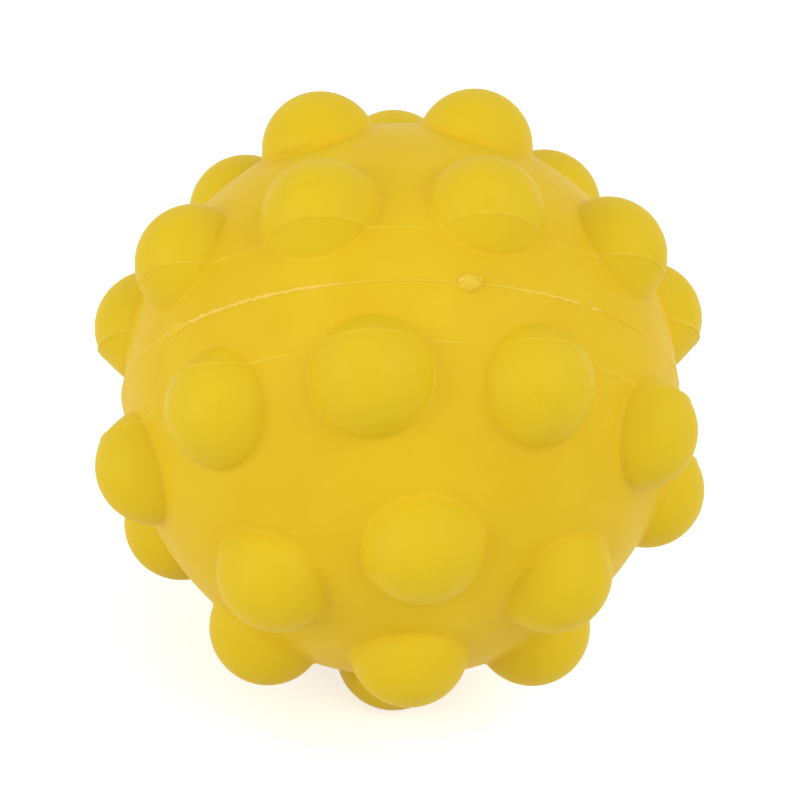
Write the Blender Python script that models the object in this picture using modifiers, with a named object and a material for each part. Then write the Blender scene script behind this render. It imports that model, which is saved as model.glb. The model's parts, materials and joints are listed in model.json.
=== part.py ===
"""Pop fidget ball, 70 mm across: a hollow silicone ball covered in bubbles that pop inwards.

Two half shells from one mould are glued together at the seam. Each half has a bubble on its pole, an inner
ring and an outer ring of bubbles. A bubble's root is part of the half shell, and its crown moves straight
in along the bubble's own axis until it lies as deep below the surface as it stood above it.

Each half is modelled in its own frame, with +Z through its pole bubble. The finished ball lies as it
does on a table, on three bubbles of its lower half.
"""

from math import acos, asin, atan2, cos, pi, radians, sin, sqrt

import bmesh
import bpy
from mathutils import Matrix, Vector

# Outer form, in metres. A bubble is part of a sphere, and its crown stands this high above the round body
CORE_RADIUS = 0.03015
BUBBLE_RADIUS = 0.00635
CROWN_HEIGHT = 0.00485

# Size of the soft corner where a bubble grows out of the round body
ROOT_CORNER = 0.0008

# Walls
SHELL_WALL = 0.0022
BUBBLE_WALL = 0.0012
BOND_RIM_WIDTH = 0.0034
BOND_RIM_HEIGHT = 0.0022

# Glued seam between the two halves
SEAM_BEAD_THICKNESS = 0.0004
SEAM_BEAD_PROUD = 0.0005
SEAM_BEAD_INSIDE = 0.0004

# Room between pieces that touch on the real ball
CLEARANCE = 0.0003

# Bubble pattern of one half, the same in both
OUTER_RING_COUNT = 10
INNER_RING_COUNT = 6
OUTER_RING_LATITUDE = radians(18.8)
INNER_RING_LATITUDE = radians(54.5)

# How far each half is turned about the axis through the poles
UPPER_TURN = radians(1.7)
LOWER_TURN = radians(-24.0)

# The ball lies on these three bubbles of the lower half, each given as its ring and its number there
REST_BUBBLES = (("outer_ring", 7), ("outer_ring", 8), ("inner_ring", 5))

# The side that faces the front lies this far from the seam, towards the lower pole
FRONT_LATITUDE = radians(23.4)

# Fineness of the round forms
SHELL_STEPS = 32
SHELL_ARC_STEPS = 7
BUBBLE_STEPS = 14
CROWN_ARC_STEPS = 4
HOLLOW_ARC_STEPS = 2
ROOT_ARC_STEPS = 2

SILICONE_COLOUR = (0.78, 0.50, 0.025, 1.0)
SEAM_COLOUR = (0.86, 0.66, 0.20, 1.0)

# Where the sphere of a bubble sits, and where it meets the round body
CROWN_REACH = CORE_RADIUS + CROWN_HEIGHT
BUBBLE_CENTRE = CROWN_REACH - BUBBLE_RADIUS
BASE_PLANE = (CORE_RADIUS**2 + BUBBLE_CENTRE**2 - BUBBLE_RADIUS**2) / (2 * BUBBLE_CENTRE)
POP_TRAVEL = 2 * (CROWN_REACH - BASE_PLANE)

# A crown slides in a straight bore as wide as the hollow inside the bubble
HOLLOW_RADIUS = BUBBLE_RADIUS - BUBBLE_WALL
BORE_RADIUS = HOLLOW_RADIUS
CROWN_EDGE_RADIUS = BORE_RADIUS - CLEARANCE

INNER_RADIUS = CORE_RADIUS - SHELL_WALL
SEAM_HALF_GAP = SEAM_BEAD_THICKNESS / 2 + CLEARANCE

# How far a cut runs past the face it opens, and a joined root dips below the face it grows from
OVERRUN = 0.001
ROOT_DIP = 0.00015


def clear_scene():
    for item in list(bpy.data.objects):
        bpy.data.objects.remove(item)


def new_collection(name):
    collection = bpy.data.collections.new(name)
    bpy.context.scene.collection.children.link(collection)
    return collection


def silicone(name, colour, roughness):
    material = bpy.data.materials.new(name)
    material.use_nodes = True
    shader = material.node_tree.nodes["Principled BSDF"]
    shader.inputs["Base Color"].default_value = colour
    shader.inputs["Roughness"].default_value = roughness
    shader.inputs["Metallic"].default_value = 0.0
    material.diffuse_color = colour
    return material


def new_object(name, mesh, collection, parent=None, place=None):
    item = bpy.data.objects.new(name, mesh)
    collection.objects.link(item)
    item.parent = parent
    item.matrix_local = place if place is not None else Matrix.Identity(4)
    return item


def arc(radius, centre_height, start, end, steps):
    """Points of an arc in the XZ plane about a centre on Z, by latitude from start to end."""
    angles = [start + (end - start) * step / steps for step in range(steps + 1)]
    return [(radius * cos(angle), centre_height + radius * sin(angle)) for angle in angles]


def profile_mesh(name, points, closed):
    """A chain of points (distance from the axis, height) as a mesh of edges."""
    bm = bmesh.new()
    verts = [bm.verts.new((max(x, 0.0), 0.0, z)) for x, z in points]
    for first, second in zip(verts, verts[1:]):
        bm.edges.new((first, second))
    if closed:
        bm.edges.new((verts[-1], verts[0]))
    mesh = bpy.data.meshes.new(name)
    bm.to_mesh(mesh)
    bm.free()
    return mesh


def turn_profile(item, steps):
    screw = item.modifiers.new("Turned", "SCREW")
    screw.axis = "Z"
    screw.angle = 2 * pi
    screw.steps = steps
    screw.render_steps = steps
    screw.use_merge_vertices = True
    screw.merge_threshold = 0.00001
    weld = item.modifiers.new("Poles", "WELD")
    weld.merge_threshold = 0.00001


def turned_mesh(name, points, steps, closed=False):
    """The solid that a profile sweeps about Z, as a plain mesh."""
    item = bpy.data.objects.new(name, profile_mesh(name, points, closed))
    bpy.context.scene.collection.objects.link(item)
    turn_profile(item, steps)
    evaluated = item.evaluated_get(bpy.context.evaluated_depsgraph_get())
    mesh = bpy.data.meshes.new_from_object(evaluated)
    bpy.data.objects.remove(item)
    mesh.name = name
    return mesh


def smooth(mesh):
    mesh.shade_smooth()
    mesh.set_sharp_from_angle(angle=radians(35))


def crown_points():
    """Section of one crown: outer dome, edge, and the hollow under it. Heights are above the base plane."""
    centre = BUBBLE_CENTRE - BASE_PLANE
    outer_edge = acos(CROWN_EDGE_RADIUS / BUBBLE_RADIUS)
    inner_edge = acos(CROWN_EDGE_RADIUS / HOLLOW_RADIUS)
    outside = arc(BUBBLE_RADIUS, centre, pi / 2, outer_edge, CROWN_ARC_STEPS)
    inside = arc(HOLLOW_RADIUS, centre, inner_edge, pi / 2, HOLLOW_ARC_STEPS)
    return outside + inside


def root_points():
    """Section of a bubble's solid root: dome flank, corner, and a foot inside the half shell's wall."""
    corner_reach = CORE_RADIUS + ROOT_CORNER
    bubble_reach = BUBBLE_RADIUS + ROOT_CORNER
    corner_height = (corner_reach**2 + BUBBLE_CENTRE**2 - bubble_reach**2) / (2 * BUBBLE_CENTRE)
    corner_out = sqrt(corner_reach**2 - corner_height**2)
    flank_end = atan2(corner_height - BUBBLE_CENTRE, corner_out)
    body_end = atan2(corner_height, corner_out)

    flank_start = acos(CROWN_EDGE_RADIUS / BUBBLE_RADIUS)
    flank = arc(BUBBLE_RADIUS, BUBBLE_CENTRE, flank_start, flank_end, ROOT_ARC_STEPS)
    buried = CORE_RADIUS - ROOT_DIP
    foot = (buried * cos(body_end), buried * sin(body_end))
    bottom = foot[1] - SHELL_WALL / 2
    return [(0.0, flank[0][1])] + flank + [foot, (foot[0], bottom), (0.0, bottom)]


def bore_points():
    """Section of the straight bore through a bubble's root and the half shell's wall."""
    top = CROWN_REACH + OVERRUN
    bottom = sqrt(INNER_RADIUS**2 - BORE_RADIUS**2) - OVERRUN
    return [(0.0, top), (BORE_RADIUS, top), (BORE_RADIUS, bottom), (0.0, bottom)]


def shell_points():
    """Section of a half shell: outer arc, bonding face, thickened bonding rim and inner arc."""
    outer_start = asin(SEAM_HALF_GAP / CORE_RADIUS)
    outer = arc(CORE_RADIUS, 0.0, pi / 2, outer_start, SHELL_ARC_STEPS)
    rim_inside = CORE_RADIUS - BOND_RIM_WIDTH
    rim_top = SEAM_HALF_GAP + BOND_RIM_HEIGHT
    inner_start = asin(rim_top / INNER_RADIUS)
    inner = arc(INNER_RADIUS, 0.0, inner_start, pi / 2, SHELL_ARC_STEPS - 1)
    rim = [(rim_inside, SEAM_HALF_GAP), (rim_inside, rim_top - (BOND_RIM_WIDTH - SHELL_WALL))]
    return outer + rim + inner


def bead_points():
    """Section of the glue bead: a flat web between the bonding faces with a round lip outside and inside."""
    half = SEAM_BEAD_THICKNESS / 2
    outside = CORE_RADIUS + SEAM_BEAD_PROUD - half
    inside = CORE_RADIUS - BOND_RIM_WIDTH - SEAM_BEAD_INSIDE + half
    lip = [(outside + half * cos(angle), half * sin(angle)) for angle in (pi / 2, 0.0, -pi / 2)]
    back = [(inside - half * cos(angle), -half * sin(angle)) for angle in (pi / 2, 0.0, -pi / 2)]
    return lip + back


def ring_names(ring):
    if ring == "pole":
        return ["pole_bubble"]
    count = OUTER_RING_COUNT if ring == "outer_ring" else INNER_RING_COUNT
    return [f"{ring}_bubble_{number}" for number in range(1, count + 1)]


def ring_direction(ring, number):
    """Direction of a bubble in the frame of its half. Bubbles are numbered from 1 round each ring."""
    if ring == "pole":
        return Vector((0.0, 0.0, 1.0))
    outer = ring == "outer_ring"
    count = OUTER_RING_COUNT if outer else INNER_RING_COUNT
    latitude = OUTER_RING_LATITUDE if outer else INNER_RING_LATITUDE
    azimuth = 2 * pi * (number - 1) / count
    return Vector((cos(latitude) * cos(azimuth), cos(latitude) * sin(azimuth), sin(latitude)))


def bubble_directions():
    """Name and direction of every bubble of one half."""
    return {
        name: ring_direction(ring, number)
        for ring in ("pole", "inner_ring", "outer_ring")
        for number, name in enumerate(ring_names(ring), start=1)
    }


def facing(direction, distance):
    """Place at a distance along a direction, with +Z along it and +X level with the half's seam."""
    side = Vector((0.0, 0.0, 1.0)).cross(direction)
    if side.length < 0.000001:
        side = Vector((1.0, 0.0, 0.0))
    side.normalize()
    turn = Matrix((side, direction.cross(side), direction)).transposed().to_4x4()
    return Matrix.Translation(direction * distance) @ turn


def repeated_mesh(name, unit, places):
    """One mesh with a copy of the unit at each place."""
    bm = bmesh.new()
    for place in places:
        copy = unit.copy()
        copy.transform(place)
        bm.from_mesh(copy)
        bpy.data.meshes.remove(copy)
    mesh = bpy.data.meshes.new(name)
    bm.to_mesh(mesh)
    bm.free()
    return mesh


def add_cutter(name, mesh, collection, parent):
    cutter = new_object(name, mesh, collection, parent)
    cutter.hide_render = True
    cutter.display_type = "WIRE"
    return cutter


def add_boolean(item, operation, other):
    boolean = item.modifiers.new(operation.title(), "BOOLEAN")
    boolean.solver = "EXACT"
    boolean.operation = operation
    boolean.object = other


def half_attitude(flipped, turn):
    """Place of a half: the lower one is the same moulding turned over."""
    over = Matrix.Rotation(pi, 4, "X") if flipped else Matrix.Identity(4)
    return Matrix.Rotation(turn, 4, "Z") @ over


def lying_attitude(lower_place):
    """Turn of the whole ball that rests the three named bubbles on a level table, front towards -Y."""
    first, second, third = (
        lower_place.to_3x3() @ ring_direction(ring, number) for ring, number in REST_BUBBLES
    )
    up = (second - first).cross(third - first).normalized()
    if up.dot(first) > 0:
        up.negate()
    front = Vector((0.0, -cos(FRONT_LATITUDE), -sin(FRONT_LATITUDE)))
    back = -(front - up * front.dot(up)).normalized()
    return Matrix((back.cross(up), back, up)).to_4x4()


def build_half(prefix, half, meshes, parts, cutters, material):
    """Half shell with its bubble roots, and a crown for every bubble."""
    directions = bubble_directions()
    axis_places = [facing(direction, 0.0) for direction in directions.values()]
    roots = repeated_mesh(f"{prefix}_bubble_roots", meshes["root"], axis_places)
    bores = repeated_mesh(f"{prefix}_pop_bores", meshes["bore"], axis_places)

    shell = new_object(f"{prefix}_half_shell", meshes["shell"].copy(), parts, half)
    shell.data.materials.append(material)
    turn_profile(shell, SHELL_STEPS)
    add_boolean(shell, "UNION", add_cutter(roots.name, roots, cutters, half))
    add_boolean(shell, "DIFFERENCE", add_cutter(bores.name, bores, cutters, half))

    for name, direction in directions.items():
        crown = new_object(f"{prefix}_{name}", meshes["crown"], parts, half, facing(direction, BASE_PLANE))
        crown["travel_along_minus_z"] = POP_TRAVEL


def build_ball():
    clear_scene()
    parts = new_collection("Pop fidget ball")
    cutters = new_collection("Cutters")
    yellow = silicone("Yellow silicone", SILICONE_COLOUR, 0.5)
    glue = silicone("Seam glue", SEAM_COLOUR, 0.4)

    meshes = {
        "shell": profile_mesh("half_shell_section", shell_points(), False),
        "root": turned_mesh("bubble_root", root_points(), BUBBLE_STEPS),
        "bore": turned_mesh("pop_bore", bore_points(), BUBBLE_STEPS),
        "crown": turned_mesh("bubble_crown", crown_points(), BUBBLE_STEPS),
    }
    smooth(meshes["crown"])
    meshes["crown"].materials.append(yellow)

    lower_place = half_attitude(True, LOWER_TURN)
    ball = new_object("ball", None, parts, None, lying_attitude(lower_place))
    upper_half = new_object("upper_half", None, parts, ball, half_attitude(False, UPPER_TURN))
    lower_half = new_object("lower_half", None, parts, ball, lower_place)
    build_half("upper", upper_half, meshes, parts, cutters, yellow)
    build_half("lower", lower_half, meshes, parts, cutters, yellow)

    bead = turned_mesh("seam_bead", bead_points(), SHELL_STEPS, closed=True)
    smooth(bead)
    bead.materials.append(glue)
    new_object("seam_bead", bead, parts, ball)


build_ball()
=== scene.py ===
"""Pop fidget ball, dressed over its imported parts.

Two half shells of one yellow silicone moulding are glued together at the seam. Each carries 17 bubbles: one
on its pole, an inner ring of 6 and an outer ring of 10. Sizes are in metres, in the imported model's frame.
"""

import json
from math import acos, atan2, cos, degrees, exp, pi, radians, sin, sqrt

import bmesh
import bpy
from mathutils import Matrix, Vector
from mathutils.geometry import delaunay_2d_cdt


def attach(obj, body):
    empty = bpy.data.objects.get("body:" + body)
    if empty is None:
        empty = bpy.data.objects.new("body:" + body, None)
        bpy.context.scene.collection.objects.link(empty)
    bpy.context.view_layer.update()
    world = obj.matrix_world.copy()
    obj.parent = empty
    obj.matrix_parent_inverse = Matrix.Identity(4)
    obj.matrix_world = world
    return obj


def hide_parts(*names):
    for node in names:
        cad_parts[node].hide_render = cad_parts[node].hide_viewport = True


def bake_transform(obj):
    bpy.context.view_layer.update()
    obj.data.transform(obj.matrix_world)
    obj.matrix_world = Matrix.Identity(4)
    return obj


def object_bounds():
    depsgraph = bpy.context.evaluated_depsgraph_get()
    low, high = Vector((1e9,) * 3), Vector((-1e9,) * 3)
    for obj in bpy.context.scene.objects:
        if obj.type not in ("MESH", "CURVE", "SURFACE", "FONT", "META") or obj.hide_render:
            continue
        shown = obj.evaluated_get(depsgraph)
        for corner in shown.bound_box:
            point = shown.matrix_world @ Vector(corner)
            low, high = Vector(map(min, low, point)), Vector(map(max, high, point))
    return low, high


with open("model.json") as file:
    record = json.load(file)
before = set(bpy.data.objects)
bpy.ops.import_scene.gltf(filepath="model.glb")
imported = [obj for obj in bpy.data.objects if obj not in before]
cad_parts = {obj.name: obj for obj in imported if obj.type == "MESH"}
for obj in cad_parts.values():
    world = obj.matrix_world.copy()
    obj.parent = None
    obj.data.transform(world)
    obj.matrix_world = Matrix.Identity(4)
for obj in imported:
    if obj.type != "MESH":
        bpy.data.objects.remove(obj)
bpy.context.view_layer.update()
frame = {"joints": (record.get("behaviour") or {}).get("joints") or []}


# Half shells
# The two halves are moulded in yellow silicone about 2 mm thick, dyed all through and satin to the touch. The
# mould's parting line is a fine ridge 6.5 mm from the seam, pale partly from its thin flash and partly as a
# painted highlight. The rims are rounded and swell a little, and the halves are glued a touch askew. The wall
# is open wherever a bubble grows out of it.

MM = 0.001
BODY_RADIUS = 0.03015
BODY_WALL = 0.0022
SHARP_EDGE = radians(65)

# The bonding rim's thickness, and the height above the middle plane where it has thinned to the wall's own
BOND_RIM = 0.0034
BOND_RIM_TOP = 0.0026

# Half the angle of the opening that each bubble grows out of, from the ball's centre
OPENING_ANGLE = radians(14.5)

# The seam's rounded edge: height above the seam and setback of each row
SEAM_ROWS = ((0.00003, -0.00008), (0.00010, -0.00003), (0.00022, 0.0), (0.00045, 0.0))

# Degrees along the seam count from the front bubble. The seam runs up to this far off the middle plane, and
# crosses it at this turn
SEAM_FRONT_BUBBLE = "lower_outer_ring_bubble_3"
SEAM_ASKEW = 0.00042
SEAM_LEVEL_AT = 14

# Where the rims swell: degrees along the seam, spread in degrees, and how far they stand out
RIM_SWELLING = ((-82, 28, 0.00032), (94, 20, 0.00014), (180, 40, 0.00012))
RIM_SWELLING_REACH = 0.0013

# The parting ridge: height above the middle plane, how far it stands up, half its width, and its rows across
PARTING_HEIGHT = 0.00648
PARTING_RIDGE = 0.00007
PARTING_HALF_WIDTH = 0.00018
PARTING_ROWS = (-1.0, -0.5, 0.0, 0.5, 1.0)

# How closely the skin is divided, and how far its free points keep from the rows
OPENING_STEPS = 96
SEAM_STEPS = 480
SKIN_SPACING = 0.00072
BORDER_ROW = 0.00015
CLEAR_OF_PARTING = 0.0004
CLEAR_OF_OPENING = 0.0005
CLEAR_OF_SEAM = 0.0007
SAME_POINT = 1e-7

# The silicone's own two yellows, and the levels of the mottling between them
DEEP_YELLOW = (0.775, 0.508, 0.0095, 1.0)
LIGHT_YELLOW = (0.800, 0.545, 0.0135, 1.0)
MOTTLE_LEVELS = (0.32, 0.68)

# What changes its colour, and how much of that shows
LEMON_BUBBLE = ((0.758, 0.546, 0.0125, 1.0), 0.60)
# Painted light: the flanks' glow where light would shine through the thin wall, and their sheen
PAINTED_FLANK_GLOW = ((0.845, 0.635, 0.0180, 1.0), 0.20)
# Partly the pale film of the flash, partly a painted highlight on the parting ridge
PALE_FLASH_AND_HIGHLIGHT = ((0.85, 0.62, 0.040, 1.0), 1.0)
# Painted shade in the hollow under the torn ledge
TORN_HOLLOW_SHADE = ((0.715, 0.500, 0.0070, 1.0), 0.60)
DARK_SCUFF = ((0.66, 0.44, 0.010, 1.0), 0.22)
PALE_DUST = ((0.88, 0.70, 0.14, 1.0), 0.30)
DARK_PIT = ((0.56, 0.35, 0.006, 1.0), 0.20)

# How far out of the round body each change starts and is full, in mm
LEMON_RISE = (0.05, 1.05)
FLANK_RISE = (0.0, 0.65)
FLANK_FALL = (2.65, 0.85)
SCUFF_RISE = (2.45, 3.85)

# How fine each pattern is, in waves or spots per mm, and the levels where it starts to show and is full
MOTTLE_PER_MM = 0.13
GRAIN_PER_MM = 2.6
SPOTS_PER_MM = 0.36
FLASH_BREAKS = (0.45, (0.25, 0.75))
TORN_FRAY = (3.4, (0.10, 0.90))
TORN_EDGE = (0.20, 0.30)
SCUFF_PATCHES = (0.30, (0.55, 0.64))
SCUFF_SPECKLE = (1.7, (0.42, 0.62))
SPOT_EDGE = (0.060, 0.030)
DUSTY_SPOTS = (0.70, 0.72)
PITTED_SPOTS = (0.78, 0.80)

SILICONE_ROUGHNESS = (0.58, 0.48)
SILICONE_IOR = 1.41
SILICONE_SPECULAR = 0.21


def clamped(value):
    return min(max(value, 0.0), 1.0)


def shade_smooth(mesh):
    mesh.shade_smooth()
    mesh.set_sharp_from_angle(angle=SHARP_EDGE)


def remember_mould_place(mesh):
    """Stores where each point lay in the mould, in mm, so that the grain stays put when a bubble pops."""
    place = mesh.attributes.new("mould_place", "FLOAT_VECTOR", "POINT")
    place.data.foreach_set("vector", [c / MM for vertex in mesh.vertices for c in vertex.co])


def add_object(name, data):
    added = bpy.data.objects.new(name, data)
    bpy.context.scene.collection.objects.link(added)
    return added


def new_material(name):
    """A material with its node tree and its shader."""
    material = bpy.data.materials.new(name)
    material.use_nodes = True
    return material, material.node_tree, material.node_tree.nodes["Principled BSDF"]


def add_node(tree, kind, inputs=(), **settings):
    """Adds a node to a material or a form, sets it, and joins its inputs to sockets, rules or values."""
    node = tree.nodes.new(kind)
    for name, value in settings.items():
        setattr(node, name, value)
    for name, value in dict(inputs).items():
        value = getattr(value, "socket", value)
        if isinstance(value, bpy.types.NodeSocket):
            tree.links.new(value, node.inputs[name])
        else:
            node.inputs[name].default_value = value
    return node


def yellow_silicone():
    """Dyed silicone: mottling, lemon bubbles, painted light on the flanks and parting line, painted shade in
    a torn hollow, scuffed crowns, pits, specks and grain.
    """
    material, tree, shader = new_material("Yellow silicone")

    def add(kind, inputs=(), **settings):
        return add_node(tree, kind, inputs, **settings)

    def times(first, second):
        return add("ShaderNodeMath", {0: first, 1: second}, operation="MULTIPLY").outputs[0]

    def ramped(value, levels):
        limits = {"Value": value, "From Min": levels[0], "From Max": levels[1]}
        return add("ShaderNodeMapRange", limits, interpolation_type="SMOOTHSTEP").outputs["Result"]

    def noise(per_mm, **inputs):
        return add("ShaderNodeTexNoise", {"Vector": place, "Scale": per_mm, **inputs}).outputs["Fac"]

    def pattern(fineness, **inputs):
        per_mm, levels = fineness
        return ramped(noise(per_mm, **inputs), levels)

    def changed(under, where, change):
        colour, share = change
        node = add("ShaderNodeMix", {"Factor": times(where, share)}, data_type="RGBA")
        _, colour_under, colour_over = (socket for socket in node.inputs if socket.enabled)
        tree.links.new(under, colour_under)
        colour_over.default_value = colour
        return next(socket for socket in node.outputs if socket.enabled)

    place = add("ShaderNodeAttribute", attribute_name="mould_place").outputs["Vector"]
    reach = add("ShaderNodeVectorMath", {0: place}, operation="LENGTH").outputs["Value"]
    proud = add("ShaderNodeMath", {0: reach, 1: BODY_RADIUS / MM}, operation="SUBTRACT").outputs[0]
    mottle = noise(MOTTLE_PER_MM, Detail=4.0, Roughness=0.55)
    cloud = add("ShaderNodeValToRGB", {"Fac": mottle})
    for stop, level, yellow in zip(cloud.color_ramp.elements, MOTTLE_LEVELS, (DEEP_YELLOW, LIGHT_YELLOW)):
        stop.position = level
        stop.color = yellow

    # The bubbles look a little greener than the round body. Their thin flanks are painted paler: painted
    # light standing in for light shining through the thin wall, and a painted sheen
    colour = changed(cloud.outputs["Color"], ramped(proud, LEMON_RISE), LEMON_BUBBLE)
    colour = changed(colour, times(ramped(proud, FLANK_RISE), ramped(proud, FLANK_FALL)), PAINTED_FLANK_GLOW)

    # The parting line is thin flash, pale where it stands up most: partly the flash's own paler film, partly
    # a painted highlight of the ridge catching light
    flash_and_highlight = add("ShaderNodeAttribute", attribute_name="flash_and_highlight").outputs["Fac"]
    colour = changed(colour, times(flash_and_highlight, pattern(FLASH_BREAKS, Detail=2.0)), PALE_FLASH_AND_HIGHLIGHT)

    # Where the skin tore a little as it left the mould, the edge is frayed, and the hollow below it sinks in
    # and is painted darker: painted shade under the torn ledge
    torn = add("ShaderNodeAttribute", attribute_name="torn").outputs["Fac"]
    hollow_and_shade = ramped(times(torn, pattern(TORN_FRAY, Detail=4.0)), TORN_EDGE)
    colour = changed(colour, hollow_and_shade, TORN_HOLLOW_SHADE)

    # Scuffs lie in a few finely speckled patches near the crowns, a shade darker
    patches = pattern(SCUFF_PATCHES, Detail=5.0, Roughness=0.62, Distortion=0.4)
    scuffed = times(times(ramped(proud, SCUFF_RISE), patches), pattern(SCUFF_SPECKLE, Detail=3.0))
    colour = changed(colour, scuffed, DARK_SCUFF)

    # Specks of dust, and pits left by air in the mould
    scattered = {"Vector": place, "Scale": SPOTS_PER_MM, "Randomness": 1.0}
    spots = add("ShaderNodeTexVoronoi", scattered, feature="F1")
    near = ramped(spots.outputs["Distance"], SPOT_EDGE)
    kinds = add("ShaderNodeSeparateColor", {"Color": spots.outputs["Color"]})
    pitted = times(near, ramped(kinds.outputs["Green"], PITTED_SPOTS))
    colour = changed(colour, times(near, ramped(kinds.outputs["Red"], DUSTY_SPOTS)), PALE_DUST)
    colour = changed(colour, pitted, DARK_PIT)
    tree.links.new(colour, shader.inputs["Base Color"])

    dullest, glossiest = SILICONE_ROUGHNESS
    gloss = add("ShaderNodeMapRange", {"Value": mottle, "To Min": dullest, "To Max": glossiest})
    tree.links.new(gloss.outputs["Result"], shader.inputs["Roughness"])

    # Relief: what stands up or sinks in, its strength, and its height in mm
    relief = None
    for height, strength, rise in (
        (mottle, 0.25, 0.25),
        (scuffed, 0.20, -0.03),
        (pitted, 0.35, -0.05),
        (hollow_and_shade, 0.30, -0.06),
        (noise(GRAIN_PER_MM, Detail=3.0, Roughness=0.6), 0.14, 0.05),
    ):
        bump = add("ShaderNodeBump", {"Height": height, "Strength": strength, "Distance": rise * MM})
        if relief:
            tree.links.new(relief, bump.inputs["Normal"])
        relief = bump.outputs["Normal"]
    tree.links.new(relief, shader.inputs["Normal"])
    shader.inputs["IOR"].default_value = SILICONE_IOR
    shader.inputs["Specular IOR Level"].default_value = SILICONE_SPECULAR
    return material


silicone = yellow_silicone()


def bubble_places():
    """Each bubble by its body: its half's pole, its direction, and a turn with +Z out and +X to the seam."""
    outward = {joint["child"]: -Vector(joint["axis"]).normalized() for joint in frame["joints"]}
    places = {}
    for body, direction in outward.items():
        half = body.split("_")[0]
        pole = outward[f"{half}_pole_bubble"]
        aim = outward[f"{half}_outer_ring_bubble_1"] if body.endswith("pole_bubble") else -pole
        seaward = (aim - direction * aim.dot(direction)).normalized()
        turn = Matrix((seaward, direction.cross(seaward), direction)).transposed()
        places[body] = {"half": half, "pole": pole, "direction": direction, "turn": turn}
    return places


bubbles = bubble_places()
seam_up = bubbles["upper_pole_bubble"]["direction"]
seam_front = bubbles[SEAM_FRONT_BUBBLE]["direction"]
seam_front = (seam_front - seam_up * seam_front.dot(seam_up)).normalized()
seam_right = seam_up.cross(seam_front)


def seam_turn(direction):
    """Degrees along the seam from the meridian of the front bubble, to the right as seen from outside."""
    return degrees(atan2(direction.dot(seam_right), direction.dot(seam_front)))


def seam_height(turn):
    """How far the glued seam lies above the middle plane here, towards the upper half."""
    return -SEAM_ASKEW * sin(radians(turn - SEAM_LEVEL_AT))


def rim_swelling(turn, off_seam):
    """How far the skin stands out near the seam, where a rim swells."""
    swell = 0.0
    for middle, spread, amount in RIM_SWELLING:
        away = (turn - middle + 180) % 360 - 180
        swell += amount * exp(-((away / spread) ** 2))
    return swell * exp(-((off_seam / RIM_SWELLING_REACH) ** 2))


def parting_lift(height):
    """How far the parting ridge stands up at this height above the middle plane."""
    off = min(abs(height - PARTING_HEIGHT) / PARTING_HALF_WIDTH, 1.0)
    return PARTING_RIDGE * (1 + cos(pi * off)) / 2


def parting_level(row):
    """How high a row of the parting ridge lies above the middle plane, on a ball of radius 1."""
    return (PARTING_HEIGHT + row * PARTING_HALF_WIDTH) / BODY_RADIUS


def angles_round(steps, start=0.0):
    """Even angles round a full turn, the first one a share of a step along."""
    return [2 * pi * (step + start) / steps for step in range(steps)]


def round_point(out, angle, up):
    """A point by its distance out from the upright axis, its angle round it and its height."""
    return Vector((out * cos(angle), out * sin(angle), up))


def next_pairs(ring):
    """Each item of a closed ring with the one after it."""
    return zip(ring, ring[1:] + ring[:1])


def opening_rim(bubble):
    """Directions round one opening, each with the parting row that it lies on, if any."""
    corners = [
        bubble["turn"] @ round_point(sin(OPENING_ANGLE), angle, cos(OPENING_ANGLE))
        for angle in angles_round(OPENING_STEPS)
    ]
    rim = []
    for here, after in next_pairs(corners):
        rim.append((here, None))
        low, high = here.dot(bubble["pole"]), after.dot(bubble["pole"])
        crossings = []
        for row in PARTING_ROWS:
            level = parting_level(row)
            if (low - level) * (high - level) < 0:
                crossings.append(((level - low) / (high - low), row))
        rim.extend((here.lerp(after, share).normalized(), row) for share, row in sorted(crossings))
    return rim


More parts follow.
